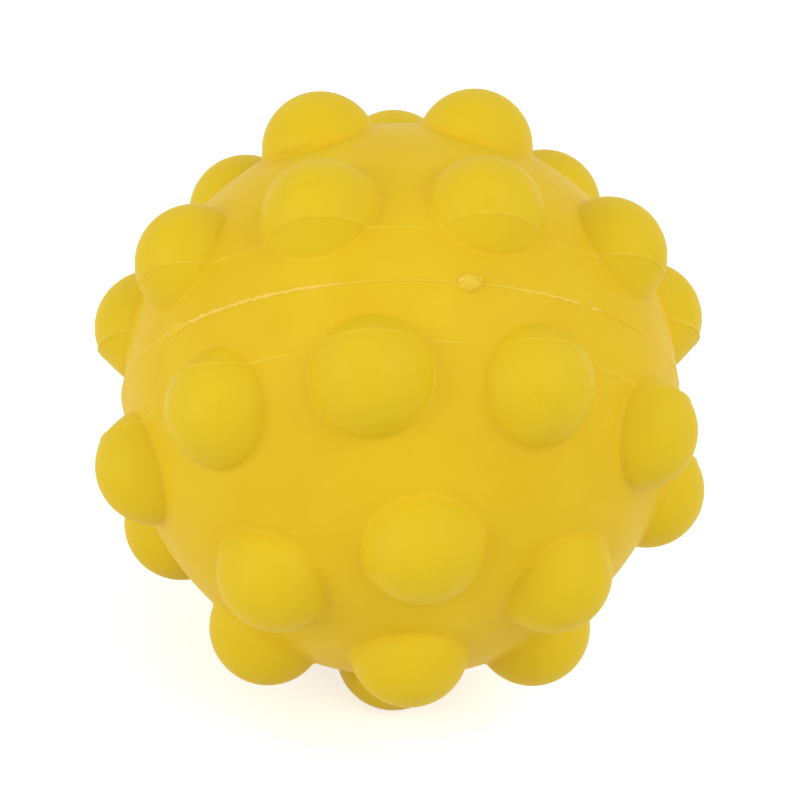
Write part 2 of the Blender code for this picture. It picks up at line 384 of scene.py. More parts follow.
def half_skin(half):
    """One half's wall: a closed mesh of even triangles that meets every bubble's edge point for point."""
    own = [bubble for bubble in bubbles.values() if bubble["half"] == half]
    pole = own[0]["pole"]
    side = pole.orthogonal().normalized()
    level_up = Matrix((side, pole.cross(side), pole))
    level_back = level_up.transposed()
    own_side = 1 if half == "upper" else -1
    axes = [level_up @ bubble["direction"] for bubble in own]
    directions, lifts, ridge, chains, crossings = [], [], [], [], []

    def clear_of_bubbles(direction, margin=0.0):
        return max(axis.dot(direction) for axis in axes) < cos(OPENING_ANGLE + margin / BODY_RADIUS)

    def add(direction, setback=0.0):
        turn = seam_turn(level_back @ direction)
        height = direction.z * BODY_RADIUS
        off_seam = height - own_side * seam_height(turn)
        swell = rim_swelling(turn, off_seam) if off_seam < 3 * RIM_SWELLING_REACH else 0.0
        directions.append(direction)
        lifts.append(setback + swell + parting_lift(height))
        ridge.append(parting_lift(height) / PARTING_RIDGE)
        return len(directions) - 1

    # The edge of each opening, and a row of points just outside it
    border = OPENING_ANGLE + BORDER_ROW / BODY_RADIUS
    for bubble in own:
        ring = []
        for direction, row in opening_rim(bubble):
            ring.append(add(level_up @ direction))
            if row is not None:
                crossings.append((ring[-1], row))
        chains.extend(next_pairs(ring))
        for angle in angles_round(OPENING_STEPS, start=0.5):
            add(level_up @ bubble["turn"] @ round_point(sin(border), angle, cos(border)))

    # The rim at the seam
    for height, setback in SEAM_ROWS:
        ring = []
        for angle in angles_round(SEAM_STEPS):
            turn = seam_turn(level_back @ round_point(1.0, angle, 0.0))
            z = (height + own_side * seam_height(turn)) / BODY_RADIUS
            ring.append(add(round_point(sqrt(1 - z * z), angle, z), setback))
        chains.extend(next_pairs(ring))

    # The parting ridge, whose rows stop at the openings and join their edges there
    for row in PARTING_ROWS:
        z = parting_level(row)
        line = []
        for angle in angles_round(SEAM_STEPS):
            direction = round_point(sqrt(1 - z * z), angle, z)
            line.append(add(direction) if clear_of_bubbles(direction, CLEAR_OF_PARTING) else None)
        ends = []
        for here, after in next_pairs(line):
            if here is not None and after is not None:
                chains.append((here, after))
            elif here is not None or after is not None:
                ends.append(here if here is not None else after)
        for end in ends:
            same_row = [index for index, crossing_row in crossings if crossing_row == row]
            chains.append((end, min(same_row, key=lambda i: (directions[i] - directions[end]).length)))

    # Even points in between, in a spiral from the rim to the pole
    spacing = SKIN_SPACING / BODY_RADIUS
    count = int(2 * pi / (spacing * spacing * sqrt(3) / 2))
    golden_angle = pi * (3 - sqrt(5))
    for number in range(count):
        z = (number + 0.5) / count
        direction = round_point(sqrt(1 - z * z), golden_angle * number, z)
        height = z * BODY_RADIUS
        off_seam = height - own_side * seam_height(seam_turn(level_back @ direction))
        clear_of_lines = off_seam > CLEAR_OF_SEAM and abs(height - PARTING_HEIGHT) > CLEAR_OF_PARTING
        if clear_of_lines and clear_of_bubbles(direction, CLEAR_OF_OPENING):
            add(direction)

    # Triangles between all these points, outside the openings, made on a flat map of the half
    flat_points = [Vector((d.x / (1 + d.z), d.y / (1 + d.z))) for d in directions]
    _, _, triangles, origin, _, _ = delaunay_2d_cdt(flat_points, chains, [], 0, SAME_POINT)
    faces = []
    for triangle in triangles:
        corners = [origin[index][0] for index in triangle]
        middle = sum((directions[i] for i in corners), Vector()).normalized()
        if clear_of_bubbles(middle):
            a, b, c = (directions[i] for i in corners)
            faces.append(corners if (b - a).cross(c - a).dot(middle) > 0 else corners[::-1])

    # The outer skin and the inner one, with a wall round every open edge
    bm = bmesh.new()
    # How far the parting ridge stands up, for its pale flash and its painted highlight
    flash_and_highlight = bm.verts.layers.float.new("flash_and_highlight")
    outside, inside = {}, {}
    for index in sorted({i for corners in faces for i in corners}):
        direction = directions[index]
        above_rim = clamped((direction.z * BODY_RADIUS - BOND_RIM_TOP / 2) / (BOND_RIM_TOP / 2))
        wall = BOND_RIM + (BODY_WALL - BOND_RIM) * above_rim
        outside[index] = bm.verts.new(level_back @ direction * (BODY_RADIUS + lifts[index]))
        outside[index][flash_and_highlight] = ridge[index]
        inside[index] = bm.verts.new(level_back @ direction * (BODY_RADIUS - wall))
    for corners in faces:
        bm.faces.new([outside[i] for i in corners])
        bm.faces.new([inside[i] for i in reversed(corners)])
    edges = [edge for corners in faces for edge in next_pairs(corners)]
    known = set(edges)
    for a, b in edges:
        if (b, a) not in known:
            bm.faces.new((outside[b], outside[a], inside[a], inside[b]))
    mesh = bpy.data.meshes.new(f"{half}_half_skin")
    bm.to_mesh(mesh)
    bm.free()
    return mesh


for half in ("upper", "lower"):
    mesh = half_skin(half)
    shade_smooth(mesh)
    remember_mould_place(mesh)
    mesh.materials.append(silicone)
    skin = add_object(f"{half}_half_skin", mesh)
    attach(skin, "ball_shell")
    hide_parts(f"{half}_half_shell")


# Bubbles
# Each bubble is part of its half's moulding: a thin dome that grows out of the wall through a soft corner.
# The parting ridge runs over the outer ring's bubbles, and their seam side comes out a little flatter.
# A pushed bubble turns inside out; here each bubble is its own mesh, made in its resting shape.

BUBBLE_RADIUS = 0.00635
CROWN_HEIGHT = 0.00485
ROOT_CORNER = 0.0006
BOWL_RADIUS = 0.00758
DOME_ROWS = 30
CORNER_ROWS = 8
SKIRT_ROWS = 5
BOWL_ROWS = 10
WELD_DISTANCE = 0.000002
ON_THE_ROW = 0.00001

# The unevenness of each moulding: its height, its waves per metre, and how fast it sets in out of the body
BUBBLE_UNEVENNESS = 0.00003
BUBBLE_WAVES = 260.0
BUBBLE_FADE_IN = 600.0

# How far the parting line climbs over each half's bubbles, and how much more its ridge stands up there
PARTING_RISE = {"upper": 0.00040, "lower": 0.0}
PARTING_RISE_PASSES = 4
BUBBLE_RIDGE_GAIN = 1.0

# How flat the seam side of each bubble of an outer ring is, from round to straight
SEAM_SIDE_FLATNESS = (0.75, 0.35, 0.6, 0.9, 0.5, 0.8, 0.4, 0.7, 0.55, 0.65)
SHORTEST_CHORD = 0.0001

# One upper bubble tore a little at its foot: half the mark's length in degrees, and its height
TORN_BUBBLE = "upper_inner_ring_bubble_5"
TORN_SPREAD = 32
TORN_HEIGHT = 0.0008

# Heights above the ball's centre of the bubble's own centre and of the plane where it meets the round body
bubble_centre = BODY_RADIUS + CROWN_HEIGHT - BUBBLE_RADIUS
base_plane = (BODY_RADIUS**2 + bubble_centre**2 - BUBBLE_RADIUS**2) / (2 * bubble_centre)

# The soft corner's centre is this far from the ball's centre and from the bubble's
from_ball = BODY_RADIUS + ROOT_CORNER
from_bubble = BUBBLE_RADIUS + ROOT_CORNER
corner_height = (from_ball**2 + bubble_centre**2 - from_bubble**2) / (2 * bubble_centre)
corner_out = sqrt(from_ball**2 - corner_height**2)

# The flank's end and the skirt's start as angles from the bubble's axis, and the flank's end as a point
flank_end = atan2(corner_out, corner_height - bubble_centre)
flank_out = BUBBLE_RADIUS * sin(flank_end)
flank_up = bubble_centre + BUBBLE_RADIUS * cos(flank_end)
skirt_start = atan2(corner_out, corner_height)

bubble_sizes = {
    "Bubble radius": BUBBLE_RADIUS,
    "Bubble centre": bubble_centre,
    "Flank end": flank_end,
    "Root corner": ROOT_CORNER,
    "Corner out": corner_out,
    "Corner height": corner_height,
    "Body radius": BODY_RADIUS,
    "Skirt start": skirt_start,
    "Opening angle": OPENING_ANGLE,
    "Wall": BODY_WALL,
    "Bowl radius": BOWL_RADIUS,
    "Unevenness": BUBBLE_UNEVENNESS,
}


class Rule:
    """A number inside a geometry tree, so that a form's rule can be written as plain arithmetic."""

    def __init__(self, tree, socket):
        self.tree, self.socket = tree, socket

    def math(self, operation, *others):
        inputs = dict(enumerate((self, *others)))
        return Rule(self.tree, add_node(self.tree, "ShaderNodeMath", inputs, operation=operation).outputs[0])

    def __add__(self, other):
        return self.math("ADD", other)

    def __sub__(self, other):
        return self.math("SUBTRACT", other)

    def __mul__(self, other):
        return self.math("MULTIPLY", other)

    def __truediv__(self, other):
        return self.math("DIVIDE", other)

    def sin(self):
        return self.math("SINE")

    def cos(self):
        return self.math("COSINE")

    def within(self, low, high):
        return self.math("MAXIMUM", low).math("MINIMUM", high)

    def share_of(self, first, count):
        """How far a row is through a block of rows, from 0 to 1."""
        return ((self - first) / count).within(0.0, 1.0)


def new_tree(name, kinds):
    """An empty geometry tree with named inputs. Gives the tree, its inputs as rules, and its output node."""
    tree = bpy.data.node_groups.new(name, "GeometryNodeTree")
    tree.interface.new_socket("Geometry", in_out="OUTPUT", socket_type="NodeSocketGeometry")
    for label, kind in {"Geometry": "Geometry", **kinds}.items():
        tree.interface.new_socket(label, in_out="INPUT", socket_type=f"NodeSocket{kind}")
    source = tree.nodes.new("NodeGroupInput")
    given = {label: Rule(tree, source.outputs[label]) for label in ("Geometry", *kinds)}
    return tree, given, tree.nodes.new("NodeGroupOutput")


def end_tree(tree, shape, given, result):
    """Ends a geometry tree with a real mesh in its material."""
    whole = add_node(tree, "GeometryNodeRealizeInstances", {"Geometry": shape.outputs[0]})
    inputs = {"Geometry": whole.outputs[0], "Material": given["Material"]}
    painted = add_node(tree, "GeometryNodeSetMaterial", inputs)
    tree.links.new(painted.outputs[0], result.inputs[0])


def position(tree):
    return tree.nodes.new("GeometryNodeInputPosition").outputs[0]


def normal(tree):
    return tree.nodes.new("GeometryNodeInputNormal").outputs[0]


def scaled(tree, vector, amount):
    inputs = {0: vector, "Scale": amount}
    return add_node(tree, "ShaderNodeVectorMath", inputs, operation="SCALE").outputs["Vector"]


def by_axis(tree, vector):
    """The three parts of a vector, as rules."""
    parts = add_node(tree, "ShaderNodeSeparateXYZ", {"Vector": vector})
    return [Rule(tree, parts.outputs[axis]) for axis in "XYZ"]


def flat_grid(tree, columns, rows):
    """A flat grid to be bent into shape, with the X and Y of its points, both from -0.5 to 0.5."""
    sizes = {"Size X": 1.0, "Size Y": 1.0, "Vertices X": columns + 1, "Vertices Y": rows + 1}
    grid = add_node(tree, "GeometryNodeMeshGrid", sizes)
    x, y, _ = by_axis(tree, position(tree))
    return grid, x, y


def bent_and_welded(tree, grid, place):
    """Moves a grid's points to their places, and joins the edges that meet."""
    bent = add_node(tree, "GeometryNodeSetPosition", {"Geometry": grid.outputs[0], "Position": place})
    inputs = {"Geometry": bent.outputs[0], "Distance": WELD_DISTANCE}
    return add_node(tree, "GeometryNodeMergeByDistance", inputs)


def wavy(tree, place, seed, per_metre, detail):
    """Noise around a mean of 0.5, different for each seed."""
    inputs = {"Vector": place, "W": seed, "Scale": per_metre, "Detail": detail}
    return Rule(tree, add_node(tree, "ShaderNodeTexNoise", inputs, noise_dimensions="4D").outputs["Fac"])


def grown_mesh(name, tree, values, start=None):
    """The plain mesh that a tree grows with these input values, from an optional starting mesh."""
    item = add_object(name, start or bpy.data.meshes.new(name))
    modifier = item.modifiers.new(tree.name, "NODES")
    modifier.node_group = tree
    for socket in tree.interface.items_tree:
        if socket.in_out == "INPUT" and socket.name in values:
            modifier[socket.identifier] = values[socket.name]
    item.update_tag()
    evaluated = item.evaluated_get(bpy.context.evaluated_depsgraph_get())
    mesh = bpy.data.meshes.new_from_object(evaluated)
    mesh.name = name
    bpy.data.objects.remove(item)
    return mesh


def bubble_tree():
    """A bubble turned about +Z: dome, soft corner, skirt on the round body, and the bowl it pops into."""
    kinds = {**dict.fromkeys(bubble_sizes, "Float"), "Seed": "Float", "Material": "Material"}
    tree, given, result = new_tree("Bubble", kinds)
    radius, corner, body = given["Bubble radius"], given["Root corner"], given["Body radius"]
    opening, bowl_radius = given["Opening angle"], given["Bowl radius"]
    rows = DOME_ROWS + CORNER_ROWS + SKIRT_ROWS + 1 + BOWL_ROWS
    grid, x, y = flat_grid(tree, OPENING_STEPS, rows)
    turn = (x * -1.0 + 0.5) * (2 * pi)
    row = (y + 0.5) * rows

    # Dome, from the crown down to the corner
    polar = given["Flank end"] * row.share_of(0, DOME_ROWS)
    far = radius * polar.sin()
    high = given["Bubble centre"] + radius * polar.cos()
    parts = []

    # Soft corner, hollow towards the outside
    first = DOME_ROWS
    start = given["Flank end"] * -1.0 + pi / 2
    end = given["Skirt start"] * -1.0 + pi / 2
    sweep = start + (end - start) * row.share_of(first, CORNER_ROWS)
    out = given["Corner out"] - corner * sweep.cos()
    up = given["Corner height"] - corner * sweep.sin()
    parts.append((first, out, up))

    # Skirt on the round body, with its rows closer together at the edge
    first += CORNER_ROWS
    left = row.share_of(first, SKIRT_ROWS) * -1.0 + 1.0
    spread = opening - (opening - given["Skirt start"]) * left * left
    parts.append((first, body * spread.sin(), body * spread.cos()))

    # Edge of the wall, and the bowl under the bubble
    first += SKIRT_ROWS
    depth = body - given["Wall"] * row.share_of(first, 1)
    parts.append((first, depth * opening.sin(), depth * opening.cos()))
    first += 1
    inner = body - given["Wall"]
    rim_out = inner * opening.sin()
    rim_up = inner * opening.cos()
    bowl_start = (rim_out / bowl_radius).math("ARCSINE")
    bowl_drop = (bowl_radius * bowl_radius - rim_out * rim_out).math("SQRT")
    bowl = bowl_start * (row.share_of(first, BOWL_ROWS) * -1.0 + 1.0)
    parts.append((first, bowl_radius * bowl.sin(), rim_up + bowl_drop - bowl_radius * bowl.cos()))

    # Each row takes its place from the last part that it has reached
    for first, out, up in parts:
        past = row.math("GREATER_THAN", first + 0.5)
        far = far + (out - far) * past
        high = high + (up - high) * past
    place = add_node(tree, "ShaderNodeCombineXYZ", {"X": far * turn.cos(), "Y": far * turn.sin(), "Z": high})
    lathed = bent_and_welded(tree, grid, place.outputs[0])

    # Each moulding is a little uneven, more towards the crown and not at all at the skirt
    here = position(tree)
    reach = add_node(tree, "ShaderNodeVectorMath", {0: here}, operation="LENGTH").outputs["Value"]
    fade = ((Rule(tree, reach) - body) * BUBBLE_FADE_IN).within(0.0, 1.0)
    amount = (wavy(tree, here, given["Seed"], BUBBLE_WAVES, 1.0) - 0.5) * 2.0 * given["Unevenness"] * fade
    push = {"Geometry": lathed.outputs[0], "Offset": scaled(tree, normal(tree), amount)}
    end_tree(tree, add_node(tree, "GeometryNodeSetPosition", push), given, result)
    return tree


def is_outer(point):
    return point.length > BODY_RADIUS - ON_THE_ROW


def how_proud(point):
    """How far a point is from the round body to the crown's height, from 0 to 1."""
    return clamped((point.length - BODY_RADIUS) / CROWN_HEIGHT)


def straightened(point, latitude):
    """The move that takes a point of the seam side to a straight flank, from the parting line to the foot."""
    gap = PARTING_HEIGHT - bubble_centre * sin(latitude)
    across = min(abs(point.y), flank_out)
    slice_radius = sqrt(BUBBLE_RADIUS**2 - across**2)
    if point.x <= 0 or point.z <= flank_up or abs(gap) >= slice_radius:
        return Vector()
    line_angle = acos(gap / slice_radius) - (pi / 2 - latitude)
    line = Vector((slice_radius * sin(line_angle), bubble_centre + slice_radius * cos(line_angle)))
    foot = Vector((sqrt(flank_out**2 - across**2), flank_up))
    chord = foot - line
    if chord.length <= SHORTEST_CHORD or line.x >= foot.x:
        return Vector()
    here = Vector((point.x, point.z))
    straight = line + chord * ((here - line).dot(chord) / chord.length_squared)
    return Vector((straight.x - here.x, 0.0, straight.y - here.y))


def add_parting_line(mesh, latitude, flatness, rise):
    """Runs the mould's parting ridge over a bubble of an outer ring, and flattens its side to the seam."""
    bm = bmesh.new()
    bm.from_mesh(mesh)
    flash_and_highlight = bm.verts.layers.float.new("flash_and_highlight")
    up = Vector((-cos(latitude), 0.0, sin(latitude)))

    # The parting line climbs away from the seam where the bubble stands out, so it is cut as if it were level
    for vert in bm.verts:
        vert.co -= up * rise * how_proud(vert.co)
    for row in PARTING_ROWS:
        faces = [face for face in bm.faces if all(is_outer(vert.co) for vert in face.verts)]
        edges = {edge for face in faces for edge in face.edges}
        verts = {vert for face in faces for vert in face.verts}
        bmesh.ops.bisect_plane(
            bm,
            geom=faces + list(edges | verts),
            dist=ON_THE_ROW,
            plane_co=up * (PARTING_HEIGHT + row * PARTING_HALF_WIDTH),
            plane_no=up,
        )

    # How far a point climbs depends on where it ends up, which a few passes settle
    for vert in bm.verts:
        level = vert.co.copy()
        for _ in range(PARTING_RISE_PASSES):
            vert.co = level + up * rise * how_proud(vert.co)
    bm.normal_update()

    # The ridge stands straight out of the body in the corner, and out of the bubble above it
    moves = []
    for vert in bm.verts:
        point = vert.co
        if not is_outer(point):
            continue
        height = point.dot(up) - rise * how_proud(point)
        move = Vector()
        if height < PARTING_HEIGHT - ON_THE_ROW:
            move = straightened(point, latitude) * flatness
        past_corner = clamped((point.length - BODY_RADIUS) / ROOT_CORNER)
        outward = point.normalized().lerp(vert.normal, past_corner**2).normalized()
        # How far the ridge stands up here, for its pale flash and its painted highlight
        vert[flash_and_highlight] = parting_lift(height) / PARTING_RIDGE
        gain = 1 + BUBBLE_RIDGE_GAIN * how_proud(point)
        moves.append((vert, move + outward * parting_lift(height) * gain))
    for vert, move in moves:
        vert.co += move
    bm.to_mesh(mesh)
    bm.free()


def mark_torn_foot(mesh):
    """Marks the seam side of a bubble's foot where its skin tore a little, from 0 above to 1 at the foot."""
    torn = []
    for vertex in mesh.vertices:
        point = vertex.co
        polar = atan2(sqrt(point.x**2 + point.y**2), point.z - bubble_centre)
        low = 1 - max(flank_end - polar, 0.0) * BUBBLE_RADIUS / TORN_HEIGHT
        off_body = clamped((point.length - BODY_RADIUS) / (ROOT_CORNER / 4))
        along = 1 - (degrees(atan2(point.y, point.x)) / TORN_SPREAD) ** 2
        torn.append(max(low, 0.0) * off_body * max(along, 0.0))
    mesh.attributes.new("torn", "FLOAT", "POINT").data.foreach_set("value", torn)


bubble_form = bubble_tree()
for number, (body, bubble) in enumerate(bubbles.items()):
    values = {**bubble_sizes, "Seed": float(number), "Material": silicone}
    mesh = grown_mesh(f"{body}_dome", bubble_form, values)
    if "outer_ring" in body:
        latitude = pi / 2 - bubble["pole"].angle(bubble["direction"])
        ring_number = int(body.rsplit("_", 1)[1])
        add_parting_line(mesh, latitude, SEAM_SIDE_FLATNESS[ring_number - 1], PARTING_RISE[bubble["half"]])
    if body == TORN_BUBBLE:
        mark_torn_foot(mesh)
    mesh.transform(bubble["turn"].to_4x4())
    shade_smooth(mesh)
    remember_mould_place(mesh)
    dome = add_object(f"{body}_dome", mesh)
    crown = bubble["direction"] * (BODY_RADIUS + CROWN_HEIGHT)
    bubble["direction"] * base_plane
    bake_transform(dome)
    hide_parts(body)


# Glued seam
# The halves are joined by a thin line of clear glue, laid by hand and left as it squeezed out. It dries pale
# cream where it stands up in a ragged line, sinks into the groove elsewhere, and carries drops and crumbs.

# Degrees along the seam, then the line's height and half width in mm, how pale it is and how ragged
GLUE_LINE = (
    (-180, 0.14, 0.18, 0.5, 0.5), (-158, 0.20, 0.22, 0.8, 0.9), (-135, 0.16, 0.18, 0.6, 0.6),
    (-118, 0.05, 0.12, 0.2, 0.1), (-72, 0.03, 0.14, 0.15, 0.0), (-51, 0.05, 0.18, 0.2, 0.3),
    (-46, 0.08, 0.26, 0.2, 0.8), (-42, 0.14, 0.27, 0.35, 1.0), (-39, 0.22, 0.25, 0.9, 1.0),
    (-28, 0.25, 0.23, 1.0, 0.9), (-16, 0.25, 0.21, 1.0, 0.8), (-10, 0.22, 0.21, 1.0, 0.5),
    (-7, 0.12, 0.16, 0.7, 0.3), (-3, 0.05, 0.12, 0.25, 0.1), (5, 0.02, 0.10, 0.12, 0.0),
    (16, 0.02, 0.11, 0.2, 0.0), (23, 0.00, 0.11, 0.2, 0.0), (29, 0.02, 0.14, 0.3, 0.1),
    (33, 0.05, 0.17, 0.45, 0.3), (37, 0.09, 0.17, 0.7, 0.6), (40, 0.15, 0.17, 1.0, 0.8),
    (43, 0.08, 0.15, 0.7, 0.6), (45, -0.02, 0.12, 0.1, 0.2), (52, -0.05, 0.10, 0.0, 0.0),
    (61, -0.03, 0.10, 0.0, 0.0), (67, 0.01, 0.12, 0.1, 0.0), (88, 0.02, 0.12, 0.1, 0.0),
    (112, 0.08, 0.14, 0.4, 0.4), (134, 0.18, 0.18, 0.8, 0.8), (158, 0.10, 0.14, 0.4, 0.3),
    (180, 0.14, 0.18, 0.5, 0.5),
)
GLUE_COLUMNS = ("glue_height", "glue_half_width", "paleness", "raggedness")
GLUE_STEPS = 1440
GLUE_SECTION = 14
GLUE_SEED = 11

# How much the ragged line wanders, how much its height and width vary, and how rough its surface is
GLUE_WANDER = 0.00050
GLUE_HEIGHT_LUMPS = 2.2
GLUE_WIDTH_LUMPS = 1.8
GLUE_ROUGH_SURFACE = 0.00010

# Crumbs lie within this distance of the line, and the smallest is this share of the largest
CRUMB_SPREAD = 0.0006
CRUMB_SMALLEST = 0.35
CRUMB_SHAPE = (1.4, 1.0, 0.7)
CRUMB_TURNS = (6.3, 6.3, 6.3)
CRUMB_RAGGEDNESS = 0.5

glue_sizes = {"Depth": 0.00030, "Lump spacing": 0.00055, "Crumb share": 0.12, "Crumb size": 0.00017}

# Drops and broken ridges: degrees along the seam, mm above it, length, width and height in mm, paleness.
# The small pale drops at 18.5 and 21.8 degrees sit on the big drop, and their paleness is partly a painted
# highlight
GLUE_DROPS = (
    (20.1, -0.05, 2.4, 2.2, 0.95, 0.32), (18.5, 0.10, 0.9, 0.70, 0.66, 0.90),
    (21.8, 0.28, 0.7, 1.0, 0.80, 0.75), (39.4, 0.05, 1.2, 0.30, 0.16, 0.75),
    (41.2, 0.02, 1.0, 0.26, 0.14, 0.65), (43.2, -0.03, 1.9, 0.34, 0.20, 0.85),
    (48.5, -0.02, 1.4, 0.50, 0.24, 0.75), (-26.4, 0.00, 0.8, 0.50, 0.36, 0.90),
    (-21.5, 0.03, 0.5, 0.34, 0.24, 0.90), (-40.0, 0.10, 0.9, 0.44, 0.26, 0.70),
    (-44.3, 0.15, 2.6, 1.50, 0.07, 0.00), (-43.8, -0.42, 0.7, 0.40, 0.13, 0.10),
    (-45.8, -0.38, 0.9, 0.40, 0.12, 0.05), (-47.8, -0.30, 0.6, 0.44, 0.11, 0.00),
    (-42.6, 0.40, 1.0, 0.30, 0.12, 0.10), (-150.0, 0.05, 1.0, 0.60, 0.30, 0.80),
    (137.0, -0.05, 1.4, 0.70, 0.32, 0.85),
)
DROP_COLUMNS = ("Length", "Width", "Height", "Paleness")

# How many waves a drop's surface has, how uneven they make it, and its foot's depth as a share of its height
DROP_WAVES = 1.3
DROP_UNEVENNESS = 0.30
DROP_FOOT = 0.3

# How fast a drop turns pale with its height, and the least and most of its paleness that shows. The paler top
# is partly thicker glue and partly a painted highlight
DROP_PALING = 1.6
DROP_PALENESS = (0.3, 1.25)

# The glue's colour where it is thin and where it is thick
THIN_GLUE = (0.800, 0.540, 0.010, 1.0)
THICK_GLUE = (0.905, 0.655, 0.100, 1.0)

# Its clots, their relief, and how much of the paleness shows between and on them
CLOTS_PER_METRE = 1800.0
CLOT_HEIGHT = 0.00004
CLOT_STRENGTH = 0.3
CLOT_LEVELS = (0.3, 0.7)
CLOT_PALENESS = (0.65, 1.1)

GLUE_ROUGHNESS = (0.56, 0.50)
GLUE_IOR = 1.43
GLUE_SPECULAR = 0.28


def clear_glue():
    """Clear glue over yellow rubber: yellow where it is thin, pale cream and lumpy where it is thick; the
    drops' pale tops are partly a painted highlight.
    """
    material, tree, shader = new_material("Clear seam glue")
    place = add_node(tree, "ShaderNodeTexCoord").outputs["Object"]
    pale = add_node(tree, "ShaderNodeAttribute", attribute_name="paleness").outputs["Fac"]
    noise = {"Vector": place, "Scale": CLOTS_PER_METRE, "Detail": 3.0}
    clots = add_node(tree, "ShaderNodeTexNoise", noise).outputs["Fac"]
    low, high = CLOT_LEVELS
    least, most = CLOT_PALENESS
    limits = {"Value": clots, "From Min": low, "From Max": high, "To Min": least, "To Max": most}
    cloudy = add_node(tree, "ShaderNodeMapRange", limits).outputs["Result"]
    paler = add_node(tree, "ShaderNodeMath", {0: pale, 1: cloudy}, operation="MULTIPLY", use_clamp=True)
    share = paler.outputs[0]
    shade = add_node(tree, "ShaderNodeValToRGB", {"Fac": share})
    shade.color_ramp.elements[0].color = THIN_GLUE
    shade.color_ramp.elements[1].color = THICK_GLUE
    tree.links.new(shade.outputs["Color"], shader.inputs["Base Color"])
    lumpy = {"Height": clots, "Strength": CLOT_STRENGTH, "Distance": CLOT_HEIGHT}
    tree.links.new(add_node(tree, "ShaderNodeBump", lumpy).outputs["Normal"], shader.inputs["Normal"])
    dullest, glossiest = GLUE_ROUGHNESS
    gloss = add_node(tree, "ShaderNodeMapRange", {"Value": share, "To Min": dullest, "To Max": glossiest})
    tree.links.new(gloss.outputs["Result"], shader.inputs["Roughness"])
    shader.inputs["IOR"].default_value = GLUE_IOR
    shader.inputs["Specular IOR Level"].default_value = GLUE_SPECULAR
    return material


glue = clear_glue()


def seam_point(turn, above=0.0):
    """A point on the seam, moved up along the skin, with the direction straight out of the seam there."""
    outward = seam_front * cos(radians(turn)) + seam_right * sin(radians(turn))
    return outward * (BODY_RADIUS + rim_swelling(turn, 0.0)) + seam_up * (seam_height(turn) + above), outward


def seam_route():
    """The seam as a row of points that carry what the glue is like at each."""
    mesh = bpy.data.meshes.new("seam_route")
    turns = [360 * step / GLUE_STEPS - 180 for step in range(GLUE_STEPS)]
    mesh.from_pydata([seam_point(turn)[0] for turn in turns], [], [])
    for column, name in enumerate(GLUE_COLUMNS, start=1):
        values = []
        for turn in turns:
            for before, after in zip(GLUE_LINE, GLUE_LINE[1:]):
                if before[0] <= turn < after[0]:
                    share = (turn - before[0]) / (after[0] - before[0])
                    values.append(before[column] + (after[column] - before[column]) * share)
        mesh.attributes.new(name, "FLOAT", "POINT").data.foreach_set("value", values)
    return mesh


def stored(tree, shape, name, value):
    """Stores a number on each point of a shape, under a name that materials can read."""
    inputs = {"Geometry": shape.outputs[0], "Name": name, "Value": value}
    return add_node(tree, "GeometryNodeStoreNamedAttribute", inputs, data_type="FLOAT", domain="POINT")


